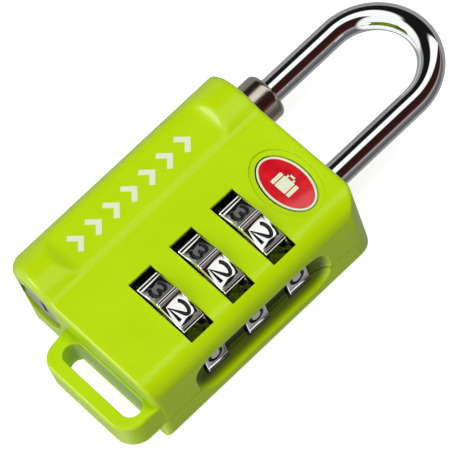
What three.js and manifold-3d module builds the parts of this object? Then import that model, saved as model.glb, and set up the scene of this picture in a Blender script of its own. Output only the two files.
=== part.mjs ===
// A three-dial luggage lock with a wire shackle, a key override and a strap loop.
// Millimetres. The lock lies on its flat back: X is its width, +Y points to the shackle, +Z out of the front.
import * as THREE from "three";
import { mergeVertices } from "three/addons/utils/BufferGeometryUtils.js";
import Module from "manifold-3d";

const wasm = await Module();
wasm.setup();

// ---------------------------------------------------------------- driving sizes

// case
const bodyLength = 40.6;
const columnRadius = 7.27;
const faceRise = 6.0; // main face above the dial axis
const sideRecess = 0.75; // dial facets below the right side
const endWall = 1.3;
const partingBelowAxis = 3.4;
const partingGap = 0.15;
const faceEdgeRadius = 3.0;
const backEdgeRadius = 1.5;
const creaseRadius = 2.0; // hollow blend between the column and the main face
const cornerRadii = { bottomLeft: 4.6, bottomRight: 1.3, topRight: 4.0, topLeft: 1.5 };
const labelDepth = 1.12;
const labelFromBottom = 6.4; // flat's ends from the case's ends
const labelFromTop = 6.3;
const labelRamp = 1.6;

// dials
const dialCount = 3;
const dialPitch = 7.81;
const middleDialY = -0.9;
const dialWidth = 3.8;
const dialRidgeRadius = 7.9;
const facetCount = 10;
const ridgeWidth = 0.9;
const ridgeGroove = 0.3;
const ridgeFoot = 0.3; // ridge's foot below its crown
const ridgeEase = 0.02;
const ridgeShoulder = 0.8; // shares of the ridge's half width
const ridgeLip = 0.35;
const dialSideGap = 0.2;
const dialRimGap = 0.2;
const backClearance = 0.2;
const windowLength = 13.0;
const faceWall = 1.3; // front wall beside the windows' left ends
const rearWindowLength = 8.0;

// side trough
const troughBelowDials = 4.5; // past the outer dials' middles
const troughAboveDials = 5.1;
const troughHeight = 7.8;
const troughDepth = 1.9;
const troughBelowAxis = 1.7;

// shackle
const wireRadius = 2.0;
const bowHeight = 16.5; // top face to the centre of the bend
const collarRise = 4.0;
const collarWall = 1.6;
const toeGap = 0.2; // toe above the top face
const swingGap = 1.1; // toe above the collar when lifted
const lugReach = 1.5;
const lugWidth = 1.6;
const lugLength = 1.4;
const ringThickness = 0.8;
const ringReach = 1.3;
const ringMouth = 1.4; // radians
const liftSpringLength = 2.4;
const springWire = 0.25;
const legEndGap = 0.6; // leg's end above the floor of its room
const ringGrooveDepth = 0.4;
const liftSpringTurns = 3;
const liftSpringGap = 0.6; // inside the coil

// clutch sleeves
const sleeveLength = 6.4;
const sleeveFlange = 1.2;
const sleeveWall = 1.05;
const sleeveToothHeight = 0.6;
const sleeveToothWidth = 1.1;
const toothShy = 0.3; // tooth's ends inside the dial
const lugBelowFlange = 0.2;

// latch in the column
const chamberRadius = 5.7;
const innerWall = 1.1; // between the latch chamber and the detent spring
const detentDepth = 1.85;
const detentOverhang = 2.6; // comb past the outer dials' middles
const detentSheet = 0.35;
const detentSlot = { width: 0.95, endGap: 0.3, height: 3.3 };
const spineLow = 2.1; // above the axis
const spineHigh = 2.9;
const finger = { halfWidth: 1.5, rise: 2.4, sideGap: 0.4, headroom: 0.4 };
const drumBottom = -4.7; // from the middle of the body
const drumLength = 9.1;
const drumRadius = 4.3;
const drumSeatDepth = 3.0;
const drumSeatRadius = 2.85;
const drumGrooveSlack = 0.42; // groove wider than the follower
const drumOverrun = 0.25; // radians of groove past each end of the turn
const drumSlot = { halfWidth: 1.0, depth: 2.2, halfHeight: 2.4 };
const collarSpringRadius = 2.35;
const collarSpringTurns = 6;
const collarEdgeRadius = 0.8;
const toeHoleGap = 0.2; // round the toe in the collar
const carriageRadius = 5.5;
const carriageWall = 0.9;
const carriageCeiling = 1.9;
const carriageOverlap = 2.9; // its skirt below the drum's top
const springRoom = 5.4; // drum's top to the carriage's ceiling
const followerRadius = 0.55;
const followerReach = 6.2;
const followerDepth = 0.65;
const followerBelowDrumTop = 1.2;
const spigotLength = 4.5;
const spigotRadius = 2.0;

// key lock
const plugRadius = 4.1;
const barrelWall = 1.1;
const plugRecess = 0.5; // key face below the bottom end
const keywayWidth = 1.1;
const keywayShy = 1.0; // from the plug's edge, at both ends
const waferCount = 4;
const waferThickness = 0.6;
const waferWidth = 3.0;
const waferShy = 0.4; // inside the plug's edge while a key holds it
const waferTravel = 0.7;
const barrelBelowDrum = 1.9;
const clipThickness = 0.5;
const tailRadius = 2.6;
const tailHeadReach = 0.6;
const tailHeadThickness = 0.5;
const tang = { halfWidth: 0.8, depth: 2.0, halfHeight: 2.2 }; // in the drum's slot
const plugRibGap = 0.2; // plug's shoulder below the barrel's top
const plugHoleGap = 0.2; // round the plug's face
const keywayPastWafers = 0.6;
const clipReach = 0.7; // past the plug
const clipRoom = 0.9;
const ribThickness = 1.1;
const waferHole = { halfWidth: 0.8, halfHeight: 2.6 };
const waferRoom = { side: 0.2, end: 0.25, past: 1.0 };
const firstWafer = 2.8; // above the plug's face
const lastWafer = 1.7; // below the barrel's top

// badge, strap loop, pins
const badge = { fromRight: 9.64, a: 6.4, land: 1.5, rimDepth: 0.35, rim: 0.85, floorDepth: 1.0 };
const badgeInlayThickness = 0.55;
const inlayGap = 0.2;
const loopDepth = 5.7;
const loopBelowParting = 0.6;
const loopAboveParting = 4.7;
const loopWidth = 19.3;
const loopTaper = { start: 0.1, end: 1.0 }; // how far its left side leans in
const loopFromRight = { start: 0.1, end: 0.2 };
const loopCorners = { left: 3.0, right: 3.4 };
const loopSlot = { fromLoopLeft: 2.5, fromRight: 1.75, width: 3.2, outerBar: 2.2 };
const pinRadius = 0.8;
const pinHeadRadius = 1.4;
const pinHeadThickness = 0.6;
const pinBottom = 0.2;
const pinAboveParting = 4.7;
const pinInsets = { shoulder: 0.6, top: 2.6, corner: 3.4, cornerTop: 3.6, loop: 2.4, loopEnd: 2.9, foot: 2.6 };

const slidingGap = 0.15; // all round a piece that slides or turns in another
const restGap = 0.1; // between pieces that rest on each other
const degree = Math.PI / 180;
const facetStep = 12 * degree; // finest turn between two facets of an arc
const through = 1; // how far a cutter runs past a face

// ---------------------------------------------------------------- sizes that follow

const facetApothem = dialRidgeRadius * Math.cos(Math.PI / facetCount);
const roomRadius = dialRidgeRadius + dialRimGap;
const legPitch = chamberRadius + innerWall + detentDepth + roomRadius;
const bodyWidth = columnRadius + legPitch + facetApothem + sideRecess;
const left = -bodyWidth / 2;
const right = bodyWidth / 2;
const top = bodyLength / 2;
const bottom = -bodyLength / 2;
const axisZ = dialRidgeRadius + backClearance;
const face = axisZ + faceRise;
const partingHeight = axisZ - partingBelowAxis;
const pinTop = partingHeight + pinAboveParting;
const labelBottom = bottom + labelFromBottom;
const labelTop = top - labelFromTop;
const crown = axisZ + columnRadius;
const keyX = left + columnRadius;
const dialX = keyX + legPitch;
const dialY = (k) => middleDialY + (k - (dialCount - 1) / 2) * dialPitch;
const dialRoomHalf = dialWidth / 2 + dialSideGap;
const aboveDials = top - dialY(dialCount - 1) - dialRoomHalf;
const badgeX = right - badge.fromRight;
const badgeY = top - aboveDials / 2;
const badgeHeight = aboveDials / 2 - badge.land; // half of it

const collarRadius = wireRadius + collarWall;
const collarTravel = collarRise + restGap + toeGap;
const liftTravel = collarRise - toeGap + swingGap;
const lugRadius = wireRadius + lugReach;
const sleeveBore = wireRadius + slidingGap;
const sleeveHollow = lugRadius + 2 * slidingGap;
const sleeveRadius = sleeveHollow + sleeveWall;
const dialBore = sleeveRadius + slidingGap;
const notchRadius = sleeveRadius + sleeveToothHeight + slidingGap;
const sleeveRoom = sleeveRadius + slidingGap;
const lugTop = sleeveLength / 2 - sleeveFlange - lugBelowFlange; // above the dial's middle
const legRoomBottom = bottom + endWall;
const legRoomTop = dialY(dialCount - 1) + lugTop + liftTravel + 2 * slidingGap;
const ringBottom = legRoomBottom + restGap + liftSpringLength + restGap;
const ringRoom = wireRadius + ringReach + 2 * slidingGap;
const sleeveRoomBottom = dialY(0) - sleeveLength / 2 - 2 * slidingGap;
const detentLeft = dialX - roomRadius - detentDepth;
const detentBottom = dialY(0) - detentOverhang;
const detentTop = dialY(dialCount - 1) + detentOverhang;

const drumTop = drumBottom + drumLength;
const ceilingY = drumTop + springRoom;
const carriageTop = ceilingY + carriageCeiling;
const carriageBottom = drumTop - carriageOverlap - restGap;
const chamberTop = carriageTop + restGap;
const collarBottom = chamberTop + restGap;
const barrelTop = drumBottom - barrelBelowDrum;
const barrelBottom = bottom + endWall + restGap;
const barrelBore = plugRadius + restGap;
const barrelRadius = barrelBore + barrelWall;
const plugFace = bottom + plugRecess;
const ribTop = barrelTop + restGap + ribThickness;
const followerY = drumTop - followerBelowDrumTop;
const waferHalfHeight = plugRadius - waferShy;
const keywayHeight = 2 * (plugRadius - keywayShy);

// ---------------------------------------------------------------- solids

const solidOf = (geometry) => {
  const bare = geometry.clone();
  bare.deleteAttribute("normal");
  bare.deleteAttribute("uv");
  const merged = mergeVertices(bare, 1e-4);
  return new wasm.Manifold(
    new wasm.Mesh({
      numProp: 3,
      vertProperties: merged.attributes.position.array,
      triVerts: new Uint32Array(merged.index.array),
    }),
  );
};

const geometryOf = (solid) => {
  const mesh = solid.getMesh();
  const positions = new Float32Array(mesh.numVert * 3);
  for (let i = 0; i < mesh.numVert; i++) {
    const start = i * mesh.numProp;
    positions.set(mesh.vertProperties.subarray(start, start + 3), i * 3);
  }
  const geometry = new THREE.BufferGeometry();
  geometry.setAttribute("position", new THREE.BufferAttribute(positions, 3));
  geometry.setIndex(new THREE.BufferAttribute(mesh.triVerts, 1));
  geometry.computeVertexNormals();
  return geometry;
};

const joined = (...solids) => solids.flat().reduce((whole, one) => whole.add(one));
const cut = (solid, ...tools) => tools.flat().reduce((rest, tool) => rest.subtract(tool), solid);

// Points of an arc about (x, y), both ends included.
const arc = (x, y, radius, from, to, step = facetStep) => {
  const count = Math.max(1, Math.ceil(Math.abs(to - from) / step - 1e-6));
  return Array.from({ length: count + 1 }, (_, i) => {
    const angle = from + ((to - from) * i) / count;
    return [x + radius * Math.cos(angle), y + radius * Math.sin(angle)];
  });
};

// A closed outline through corners [x, y, radius], each rounded to its radius.
const outline = (corners) =>
  corners.flatMap(([x, y, radius = 0], i) => {
    if (!radius) return [[x, y]];
    const here = new THREE.Vector2(x, y);
    const before = new THREE.Vector2(...corners.at(i - 1)).sub(here).normalize();
    const after = new THREE.Vector2(...corners[(i + 1) % corners.length]).sub(here).normalize();
    const half = Math.acos(before.dot(after)) / 2;
    const reach = radius / Math.tan(half);
    const bisector = before.clone().add(after).normalize();
    const centre = here.clone().addScaledVector(bisector, radius / Math.sin(half));
    const start = here.clone().addScaledVector(before, reach).sub(centre).angle();
    const end = here.clone().addScaledVector(after, reach).sub(centre).angle();
    const sweep = THREE.MathUtils.euclideanModulo(end - start + Math.PI, 2 * Math.PI) - Math.PI;
    return arc(centre.x, centre.y, radius, start, start + sweep);
  });

// The directions that an outline's two coordinates and its thickness take.
const along = {
  x: new THREE.Matrix4().makeBasis(
    new THREE.Vector3(0, 1, 0), new THREE.Vector3(0, 0, 1), new THREE.Vector3(1, 0, 0)),
  y: new THREE.Matrix4().makeBasis(
    new THREE.Vector3(-1, 0, 0), new THREE.Vector3(0, 0, 1), new THREE.Vector3(0, 1, 0)),
  z: new THREE.Matrix4(),
};

// An outline with thickness: (y, z) points along x, (x, z) points along y, or (x, y) points along z.
const prism = (points, axis, from, to) => {
  const sign = axis === "y" ? -1 : 1;
  const shape = new THREE.Shape(points.map(([a, b]) => new THREE.Vector2(sign * a, b)));
  const geometry = new THREE.ExtrudeGeometry(shape, { depth: to - from, bevelEnabled: false });
  geometry.translate(0, 0, from);
  return solidOf(geometry.applyMatrix4(along[axis]));
};

const block = (x0, x1, y0, y1, z0, z1) => {
  const geometry = new THREE.BoxGeometry(x1 - x0, y1 - y0, z1 - z0);
  return solidOf(geometry.translate((x0 + x1) / 2, (y0 + y1) / 2, (z0 + z1) / 2));
};

// A round bar along Y.
const rod = (radius, x, z, from, to, sides = 36) => {
  const geometry = new THREE.CylinderGeometry(radius, radius, to - from, sides);
  return solidOf(geometry.translate(x, (from + to) / 2, z));
};

// A closed profile of [radius, y] points, counter-clockwise, turned about a line along Y.
const turned = (profile, x, z, sides = 36) => {
  const points = profile.map(([r, y]) => new THREE.Vector2(r, y));
  const closed = points[0].x === 0 && points.at(-1).x === 0 ? points : [...points, points[0].clone()];
  return solidOf(new THREE.LatheGeometry(closed, sides).translate(x, 0, z));
};

// A path through stations, with one step of the tube at each.
class StationPath extends THREE.Curve {
  constructor(stations) {
    super();
    this.stations = stations;
  }
  getPoint(t) {
    const place = Math.min(t, 1) * (this.stations.length - 1);
    const i = Math.min(Math.floor(place), this.stations.length - 2);
    return this.stations[i].clone().lerp(this.stations[i + 1], place - i);
  }
  getPointAt(u) {
    return this.getPoint(u);
  }
  getTangentAt(u) {
    return this.getTangent(u);
  }
}

const tube = (radius, stations, sides) => {
  const ring = arc(0, 0, radius, 0, 2 * Math.PI, (2 * Math.PI) / sides).slice(0, -1);
  const shape = new THREE.Shape(ring.map(([a, b]) => new THREE.Vector2(a, b)));
  return new THREE.ExtrudeGeometry(shape, {
    extrudePath: new StationPath(stations),
    steps: stations.length - 1,
    bevelEnabled: false,
  });
};

// A helix about a line along Y: angle 0 is +Z and turns towards +X.
const helix = (radius, x, z, from, turn, count, height) =>
  Array.from({ length: count + 1 }, (_, i) => {
    const share = i / count;
    const angle = from + turn * share;
    return new THREE.Vector3(x + radius * Math.sin(angle), height(share), z + radius * Math.cos(angle));
  });

// ---------------------------------------------------------------- case

const bodyWhole = () => {
  const creaseZ = face + creaseRadius;
  const creaseX = keyX + Math.sqrt((columnRadius + creaseRadius) ** 2 - (creaseZ - axisZ) ** 2);
  const toColumn = Math.atan2(axisZ - creaseZ, keyX - creaseX);
  const section = [
    ...arc(left + backEdgeRadius, backEdgeRadius, backEdgeRadius, Math.PI, 1.5 * Math.PI),
    ...arc(right - backEdgeRadius, backEdgeRadius, backEdgeRadius, 1.5 * Math.PI, 2 * Math.PI),
    ...arc(right - faceEdgeRadius, face - faceEdgeRadius, faceEdgeRadius, 0, Math.PI / 2),
    ...arc(creaseX, creaseZ, creaseRadius, -Math.PI / 2, toColumn),
    ...arc(keyX, axisZ, columnRadius, toColumn + Math.PI, Math.PI, facetStep / 2).slice(1),
  ];
  const plan = outline([
    [left, bottom, cornerRadii.bottomLeft],
    [right, bottom, cornerRadii.bottomRight],
    [right, top, cornerRadii.topRight],
    [left, top, cornerRadii.topLeft],
  ]);
  const label = prism(
    [
      [labelBottom, crown - labelDepth],
      [labelTop, crown - labelDepth],
      [labelTop + 2 * labelRamp, crown + labelDepth],
      [labelBottom - 2 * labelRamp, crown + labelDepth],
    ],
    "x",
    left,
    creaseX,
  );
  return cut(
    prism(section, "y", bottom, top).intersect(prism(plan, "z", -through, crown + through)),
    label,
  );
};

const strapLoop = () => {
  const low = bottom - loopDepth;
  const slotLow = low + loopSlot.outerBar;
  const slotMiddle = slotLow + loopSlot.width / 2;
  const end = loopSlot.width / 2;
  const loopLeft = right - loopWidth;
  const bottomZ = partingHeight - loopBelowParting;
  const topZ = partingHeight + loopAboveParting;
  const plan = outline([
    [loopLeft, bottom + endWall],
    [loopLeft + loopTaper.start, bottom],
    [loopLeft + loopTaper.end, low, loopCorners.left],
    [right - loopFromRight.end, low, loopCorners.right],
    [right - loopFromRight.start, bottom + endWall],
  ]);
  const slot = [
    ...arc(loopLeft + loopSlot.fromLoopLeft + end, slotMiddle, end, Math.PI / 2, 1.5 * Math.PI, facetStep),
    ...arc(right - loopSlot.fromRight - end, slotMiddle, end, -Math.PI / 2, Math.PI / 2, facetStep),
  ];
  return cut(
    prism(plan, "z", bottomZ, topZ),
    prism(slot, "z", bottomZ - through, topZ + through),
  );
};

const sideTrough = () => {
  const radius = ((troughHeight / 2) ** 2 + troughDepth ** 2) / (2 * troughDepth);
  const shallow = radius - troughDepth;
  const end = troughHeight / 2;
  const troughBottom = dialY(0) - troughBelowDials;
  const troughTop = dialY(dialCount - 1) + troughAboveDials;
  const profile = [[0, troughBottom]];
  const count = 6;
  for (let i = 0; i <= count; i++) {
    const angle = ((i / count) * Math.PI) / 2;
    profile.push([shallow + troughDepth * Math.sin(angle), troughBottom + end * (1 - Math.cos(angle))]);
  }
  for (let i = count; i >= 0; i--) {
    const angle = ((i / count) * Math.PI) / 2;
    profile.push([shallow + troughDepth * Math.sin(angle), troughTop - end * (1 - Math.cos(angle))]);
  }
  profile.push([0, troughTop]);
  return turned(profile, right - troughDepth + radius, axisZ - troughBelowAxis, 60);
};

const pinPlaces = [
  [(keyX + dialX) / 2 + pinInsets.shoulder, top - pinInsets.top],
  [right - pinInsets.corner, top - pinInsets.cornerTop],
  [dialX - ringRoom - pinInsets.loop, bottom + pinInsets.loopEnd],
  [right - pinInsets.foot, bottom + pinInsets.foot],
];

// Every hollow that both shells share.
const hollows = () => {
  const fingerRoom = finger.halfWidth + finger.sideGap;
  const dials = Array.from({ length: dialCount }, (_, k) => {
    const low = dialY(k) - dialRoomHalf;
    const high = dialY(k) + dialRoomHalf;
    return [
      rod(roomRadius, dialX, axisZ, low, high, 60),
      block(dialX - windowLength / 2, dialX + windowLength / 2, low, high, axisZ, crown),
      block(dialX - roomRadius, dialX, low, high, axisZ, face - faceWall),
      block(dialX - rearWindowLength / 2, dialX + rearWindowLength / 2, low, high, -through, axisZ / 4),
      block(dialX - roomRadius, dialX + roomRadius, low, high, partingHeight, axisZ),
      block(detentLeft, dialX - roomRadius + through, dialY(k) - fingerRoom, dialY(k) + fingerRoom,
        partingHeight, axisZ + finger.rise + finger.headroom),
    ];
  });
  const column = [
    rod(plugRadius + plugHoleGap, keyX, axisZ, bottom - through, barrelBottom),
    rod(barrelRadius + restGap, keyX, axisZ, barrelBottom - restGap, barrelTop + restGap),
    rod(plugRadius + clipRoom, keyX, axisZ, barrelTop, ribTop + restGap),
    rod(chamberRadius, keyX, axisZ, ribTop, chamberTop),
    rod(collarRadius + restGap, keyX, axisZ, chamberTop - restGap, top + through),
    block(keyX - chamberRadius, keyX + chamberRadius, ribTop, chamberTop, partingHeight, axisZ),
    block(keyX - barrelRadius - restGap, keyX + barrelRadius + restGap,
      barrelBottom - restGap, barrelTop + restGap, partingHeight, axisZ),
    block(keyX - followerRadius - slidingGap, keyX + followerRadius + slidingGap,
      followerY - collarTravel - followerRadius - slidingGap, followerY + followerRadius + slidingGap,
      axisZ - followerReach - slidingGap, axisZ),
  ];
  const leg = [
    rod(ringRoom, dialX, axisZ, legRoomBottom, sleeveRoomBottom + restGap),
    block(dialX - ringRoom, dialX + ringRoom, legRoomBottom, sleeveRoomBottom + restGap, partingHeight, axisZ),
    rod(sleeveRoom, dialX, axisZ, sleeveRoomBottom, legRoomTop),
    block(dialX - sleeveRoom, dialX + sleeveRoom, sleeveRoomBottom, legRoomTop, partingHeight, axisZ),
    rod(wireRadius + slidingGap, dialX, axisZ, legRoomTop - restGap, top + through, 24),
    block(detentLeft, detentLeft + detentSlot.width, detentBottom - detentSlot.endGap,
      detentTop + detentSlot.endGap, partingHeight, axisZ + detentSlot.height),
  ];
  const pins = pinPlaces.map(([x, y]) =>
    joined(
      prism(circle(x, y, pinRadius + restGap, 16), "z", -through, pinTop + restGap),
      prism(circle(x, y, pinHeadRadius + restGap, 20), "z", -through, pinBottom + pinHeadThickness + restGap),
    ),
  );
  return [...dials.flat(), ...column, ...leg, ...pins, sideTrough()];
};

const circle = (x, y, radius, sides) =>
  arc(x, y, radius, 0, 2 * Math.PI, (2 * Math.PI) / sides).slice(0, -1);

const ellipse = (a, b) =>
  circle(0, 0, 1, 40).map(([x, y]) => [badgeX + a * x, badgeY + b * y]);

const frontShell = () => {
  const pocket = [
    prism(ellipse(badge.a, badgeHeight), "z", face - badge.rimDepth, face + through),
    prism(ellipse(badge.a - badge.rim, badgeHeight - badge.rim), "z", face - badge.floorDepth, face),
  ];
  const under = block(left - through, right + through, bottom, top + through,
    -through, partingHeight + partingGap / 2);
  return cut(joined(bodyWhole(), strapLoop()), under, pocket, hollows());
};

const rearShell = () => {
  const over = block(left - through, right + through, bottom - through, top + through,
    partingHeight - partingGap / 2, crown + through);
  return cut(bodyWhole(), over, hollows());
};

const drivePin = ([x, y]) =>
  joined(
    prism(circle(x, y, pinRadius, 16), "z", pinBottom, pinTop),
    prism(circle(x, y, pinHeadRadius, 20), "z", pinBottom, pinBottom + pinHeadThickness),
  );

const badgeInlay = () => {
  const floor = face - badge.floorDepth + restGap;
  const shrink = badge.rim + inlayGap;
  return prism(ellipse(badge.a - shrink, badgeHeight - shrink), "z", floor, floor + badgeInlayThickness);
};

// ---------------------------------------------------------------- dials and their sleeves

// Ten flat faces with a double ridge at every corner; a corner stands at the crown.
const numberDial = (k) => {
  const section = [];
  for (let i = 0; i < facetCount; i++) {
    const angle = (i * 2 * Math.PI) / facetCount;
    const out = [Math.sin(angle), Math.cos(angle)];
    const side = [Math.cos(angle), -Math.sin(angle)];
    const at = (radius, offset) => [
      dialX + radius * out[0] + offset * side[0],
      axisZ + radius * out[1] + offset * side[1],
    ];
    const half = ridgeWidth / 2;
    section.push(
      at(dialRidgeRadius - ridgeFoot, -half),
      at(dialRidgeRadius - ridgeEase, -half * ridgeShoulder),
      at(dialRidgeRadius, -half * ridgeLip),
      at(dialRidgeRadius - ridgeGroove, 0),
      at(dialRidgeRadius, half * ridgeLip),
      at(dialRidgeRadius - ridgeEase, half * ridgeShoulder),
      at(dialRidgeRadius - ridgeFoot, half),
    );
  }
  const low = dialY(k) - dialWidth / 2;
  const high = dialY(k) + dialWidth / 2;
  const notches = Array.from({ length: facetCount }, (_, i) => {
    const half = sleeveToothWidth / 2 + slidingGap;
    const notch = block(-notchRadius, 0, low - through, high + through, -half, half);
    return notch.rotate([0, (i * 360) / facetCount, 0]).translate([dialX, 0, axisZ]);
  });
  const bore = rod(dialBore, dialX, axisZ, low - through, high + through);
  return cut(prism(section, "y", low, high), bore, notches);
};

// A cup, open below, with a gate in its flange for the shackle's lug.
const clutchSleeve = (k) => {
  const low = dialY(k) - sleeveLength / 2;
  const high = dialY(k) + sleeveLength / 2;
  const cup = turned(
    [
      [sleeveHollow, low],
      [sleeveRadius, low],
      [sleeveRadius, high],
      [sleeveBore, high],
      [sleeveBore, high - sleeveFlange],
      [sleeveHollow, high - sleeveFlange],
    ],
    dialX,
    axisZ,
  );
  const half = sleeveToothWidth / 2;
  const toothHalfLength = dialWidth / 2 - toothShy;
  const tooth = block(dialX - sleeveRadius - sleeveToothHeight, dialX - sleeveHollow - toothShy,
    dialY(k) - toothHalfLength, dialY(k) + toothHalfLength, axisZ - half, axisZ + half);
  const gateHalf = lugWidth / 2 + slidingGap;
  const gate = block(dialX - lugRadius - slidingGap, dialX, high - sleeveFlange - through, high + through,
    axisZ - gateHalf, axisZ + gateHalf);
  return cut(joined(cup, tooth), gate);
};

const detentSpring = () => {
  const back = detentLeft + restGap;
  const front = back + detentSheet;
  const nose = dialX - roomRadius - restGap;
  const spine = block(back, front, detentBottom, detentTop, axisZ + spineLow, axisZ + spineHigh);
  const bent = [
    [back, axisZ - finger.rise],
    [front, axisZ - finger.rise],
    [nose, axisZ],
    [front, axisZ + finger.rise],
    [back, axisZ + finger.rise],
    [nose - 1.2 * detentSheet, axisZ],
  ];
  const fingers = Array.from({ length: dialCount }, (_, k) =>
    prism(bent, "y", dialY(k) - finger.halfWidth, dialY(k) + finger.halfWidth));
  return joined(spine, fingers);
};

// ---------------------------------------------------------------- shackle

const shackle = () => {
  const bendY = top + bowHeight;
  const bendRadius = legPitch / 2;
  const middle = (keyX + dialX) / 2;
  const bend = arc(middle, bendY, bendRadius, 0, Math.PI, facetStep * 0.75);
  const legBottom = legRoomBottom + legEndGap;
  const stations = [[dialX, legBottom], [dialX, top], ...bend, [keyX, top + toeGap]];
  const wire = solidOf(tube(wireRadius, stations.map(([x, y]) => new THREE.Vector3(x, y, axisZ)), 20));
  const lugs = Array.from({ length: dialCount }, (_, k) =>
    block(dialX - lugRadius, dialX - wireRadius / 2, dialY(k) + lugTop - lugLength, dialY(k) + lugTop,
      axisZ - lugWidth / 2, axisZ + lugWidth / 2));
  const groove = turned(
    [
      [wireRadius - ringGrooveDepth, ringBottom - restGap],
      [wireRadius + through, ringBottom - restGap],
      [wireRadius + through, ringBottom + ringThickness + restGap],
      [wireRadius - ringGrooveDepth, ringBottom + ringThickness + restGap],
    ],
    dialX,
    axisZ,
    24,
  );
  return cut(joined(wire, lugs), groove);
};

// A flat ring with a mouth, pushed on from the side.
const openRing = (inner, outer, mouth, x, from, to) => {
  const start = mouth / 2 - Math.PI / 2;
  const end = 1.5 * Math.PI - mouth / 2;
  return prism([...arc(x, axisZ, outer, start, end), ...arc(x, axisZ, inner, end, start)], "y", from, to);
};

const springSeatRing = () =>
  openRing(wireRadius - ringGrooveDepth + restGap, wireRadius + ringReach, ringMouth, dialX,
    ringBottom, ringBottom + ringThickness);

const coilSpring = (radius, x, from, to, turns) => {
  const low = from + springWire;
  const high = to - springWire;
  const stations = helix(radius, x, axisZ, 0, turns * 2 * Math.PI, turns * 12, (s) => low + (high - low) * s);
  return solidOf(tube(springWire, stations, 6));
};

const liftSpring = () => {
  const radius = wireRadius + liftSpringGap + springWire;
  return coilSpring(radius, dialX, legRoomBottom + restGap, ringBottom - restGap, liftSpringTurns);
};

// ---------------------------------------------------------------- collar and its latch

const collar = () =>
  turned(
    [
      [0, collarBottom + spigotLength + restGap],
      [spigotRadius + restGap, collarBottom + spigotLength + restGap],
      [spigotRadius + restGap, collarBottom],
      [collarRadius, collarBottom],
      ...arc(collarRadius - collarEdgeRadius, top + collarRise - collarEdgeRadius, collarEdgeRadius,
        0, Math.PI / 2, facetStep * 2),
      [wireRadius + toeHoleGap, top + collarRise],
      [wireRadius + toeHoleGap, top],
      [0, top],
    ],
    keyX,
    axisZ,
  );

const latchCarriage = () => {
  const inner = carriageRadius - carriageWall;
  const cup = turned(
    [
      [0, ceilingY],
      [inner, ceilingY],
      [inner, carriageBottom],
      [carriageRadius, carriageBottom],
      [carriageRadius, carriageTop],
      [spigotRadius, carriageTop],
      [spigotRadius, collarBottom + spigotLength],
      [0, collarBottom + spigotLength],
    ],
    keyX,
    axisZ,
  );
  const holeOutline = circle(keyX, followerY, followerRadius + restGap, 16);
  const hole = prism(holeOutline, "z", axisZ - carriageRadius - through, axisZ);
  return cut(cup, hole);
};

const camFollowerPin = () => {
  const section = circle(keyX, followerY, followerRadius, 16);
  return prism(section, "z", axisZ - followerReach, axisZ - drumRadius + followerDepth);
};

const collarSpring = () => {
  const seat = drumTop - drumSeatDepth;
  return coilSpring(collarSpringRadius, keyX, seat + restGap, ceilingY - restGap, collarSpringTurns);
};

// A drum with a helical groove: a quarter turn draws the follower down by the collar's travel.
const camDrum = () => {
  const lead = collarTravel / (Math.PI / 2);
    const turn = Math.PI / 2 + 2 * drumOverrun;
  const startY = followerY + lead * drumOverrun;
  const height = (share) => startY - lead * turn * share;
  const stations = helix(drumRadius, keyX, axisZ, Math.PI + drumOverrun, -turn, 20, height);
  const groove = solidOf(tube(followerRadius + drumGrooveSlack, stations, 16));
  return cut(
    rod(drumRadius, keyX, axisZ, drumBottom, drumTop, 48),
    rod(drumSeatRadius, keyX, axisZ, drumTop - drumSeatDepth, drumTop + through, 28),
    block(keyX - drumSlot.halfWidth, keyX + drumSlot.halfWidth, drumBottom - through,
      drumBottom + drumSlot.depth, axisZ - drumSlot.halfHeight, axisZ + drumSlot.halfHeight),
    groove,
  );
};

// ---------------------------------------------------------------- key lock

const waferY = (i) => {
  const first = plugFace + firstWafer;
  const last = barrelTop - lastWafer;
  return first + ((last - first) * i) / (waferCount - 1);
};

const keyBarrel = () => {
  const half = waferWidth / 2 + waferRoom.side;
  const reach = waferHalfHeight + waferTravel + waferRoom.end;
  const from = waferY(0) - waferRoom.past;
  const to = waferY(waferCount - 1) + waferRoom.past;
  return cut(
    rod(barrelRadius, keyX, axisZ, barrelBottom, barrelTop, 40),
    rod(barrelBore, keyX, axisZ, barrelBottom - through, barrelTop + through, 40),
    block(keyX - half, keyX + half, from, to, axisZ - reach, axisZ + reach),
    block(keyX - reach, keyX + reach, from, to, axisZ - half, axisZ + half),
  );
};

const keyPlug = () => {
  const grooveTop = barrelTop + clipThickness + 3 * restGap;
  const body = turned(
    [
      [0, plugFace],
      [plugRadius, plugFace],
      [plugRadius, barrelTop - plugRibGap],
      [tailRadius, barrelTop - plugRibGap],
      [tailRadius, grooveTop],
      [tailRadius + tailHeadReach, grooveTop],
      [tailRadius + tailHeadReach, grooveTop + tailHeadThickness],
      [0, grooveTop + tailHeadThickness],
    ],
    keyX,
    axisZ,
    40,
  );
  const blade = block(keyX - tang.halfWidth, keyX + tang.halfWidth, grooveTop, drumBottom + tang.depth,
    axisZ - tang.halfHeight, axisZ + tang.halfHeight);
  const keyway = block(keyX - keywayWidth / 2, keyX + keywayWidth / 2, plugFace - through,
    waferY(waferCount - 1) + keywayPastWafers, axisZ - keywayHeight / 2, axisZ + keywayHeight / 2);
  const slots = Array.from({ length: waferCount }, (_, i) =>
    block(keyX - waferWidth / 2 - restGap, keyX + waferWidth / 2 + restGap,
      waferY(i) - waferThickness / 2 - restGap, waferY(i) + waferThickness / 2 + restGap,
      axisZ - plugRadius - through, axisZ + plugRadius + through));
  return cut(joined(body, blade), keyway, slots);
};

const wafer = (i) => {
  const low = waferY(i) - waferThickness / 2;
  const high = waferY(i) + waferThickness / 2;
  return cut(
    block(keyX - waferWidth / 2, keyX + waferWidth / 2, low, high,
      axisZ - waferHalfHeight, axisZ + waferHalfHeight),
    block(keyX - waferHole.halfWidth, keyX + waferHole.halfWidth, low - through, high + through,
      axisZ - waferHole.halfHeight, axisZ + waferHole.halfHeight),
  );
};

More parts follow.
